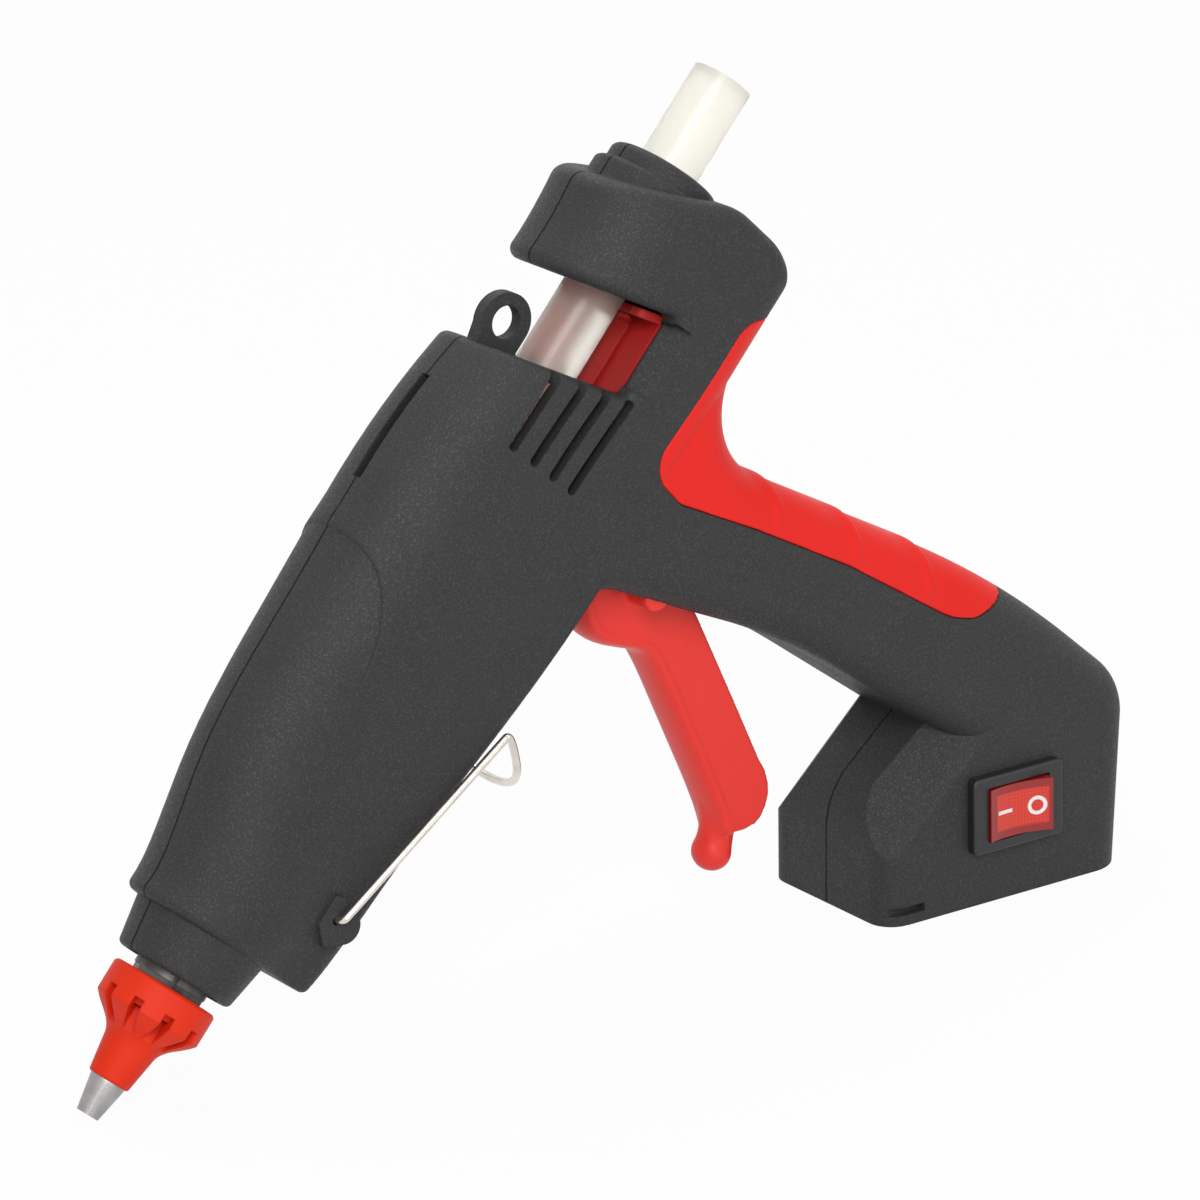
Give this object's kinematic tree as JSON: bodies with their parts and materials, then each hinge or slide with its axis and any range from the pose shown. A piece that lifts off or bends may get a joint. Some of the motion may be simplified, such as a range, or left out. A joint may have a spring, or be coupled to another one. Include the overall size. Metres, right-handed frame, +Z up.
{
  "type": "hot glue gun",
  "caption": "Trigger-fed hot glue gun in black with red soft grip, trigger and nozzle shroud, a glue stick through its open head, a rocker switch in its foot and a folding wire stand.",
  "frame": {"origin": "centre of the foot's flat underside, on the floor", "axes": "+X towards the nozzle, +Y to the gun's left side (the side with the switch), +Z up; the gun stands on its foot with the nozzle's lower rim on the floor"},
  "size_m": [0.2247, 0.0419, 0.1655],
  "materials": {
    "black_shell": "fine sparked texture",
    "red_soft": "soft satin",
    "red_plastic": "satin",
    "red_silicone": "satin",
    "nozzle_steel": "turned",
    "dark_steel": "heat-darkened",
    "insulator": "dull",
    "bright_steel": "polished wire",
    "spring_steel": "drawn wire",
    "cast_alloy": "as cast",
    "ceramic": "fired",
    "silicone": "satin",
    "glue": "waxy",
    "switch_black": "satin",
    "rocker_red": "clear tinted",
    "brass": "bare",
    "gland_rubber": "dull",
    "screw_steel": "zinc plated"
  },
  "bodies": {
    "housing": {"left_shell": "black_shell", "right_shell": "black_shell", "soft_grip": "red_soft", "nozzle_tip": "nozzle_steel", "nozzle_shroud": "red_silicone", "hex_nose": "dark_steel", "nose_insulator": "insulator", "valve_ball": "bright_steel", "valve_spring": "spring_steel", "melt_chamber": "cast_alloy", "heater_plate": "ceramic", "thermal_cutout": "nozzle_steel", "inlet_sleeve": "silicone", "chamber_mount": "insulator", "return_spring": "spring_steel", "trigger_pin": "nozzle_steel", "switch_body": "switch_black", "switch_terminals": "brass", "cord_gland": "gland_rubber", "shell_screws": "screw_steel"},
    "trigger": {"trigger": "red_plastic", "drive_pin": "nozzle_steel"},
    "carriage": {"feed_carriage": "red_plastic", "stick_jaw": "nozzle_steel"},
    "stick": {"glue_stick": "glue"},
    "rocker": {"switch_rocker": "rocker_red"},
    "stand": {"wire_stand": "bright_steel"}
  },
  "joints": [
    {"name": "carriage_slide", "type": "slide", "parent": "housing", "child": "carriage", "axis": [0.6541, 0, -0.7564], "range_m": [0, 0.00938], "stiffness_N_per_m": 20, "springref_m": -0.012, "deforming": ["return_spring"]},
    {"name": "trigger_pull", "type": "hinge", "parent": "housing", "child": "trigger", "pos_m": [0.0753, 0, 0.07355], "axis": [0, 1, 0], "range_deg": [-0.2, 20.21]},
    {"name": "stick_slide", "type": "slide", "parent": "carriage", "child": "stick", "axis": [-0.6541, 0, 0.7564], "range_m": [0, 0.045]},
    {"name": "rocker_throw", "type": "hinge", "parent": "housing", "child": "rocker", "pos_m": [-0.0007, 0.01825, 0.0181], "axis": [0, -0.0205, 0.9998], "range_deg": [0, 12]},
    {"name": "stand_fold", "type": "hinge", "parent": "housing", "child": "stand", "pos_m": [0.14615, 0, 0.02998], "axis": [0, -1, 0], "range_deg": [0, 105]}
  ],
  "couplings": [
    {"joint": "trigger_pull", "follows": "carriage_slide", "rad_per_m": 37.231}
  ]
}
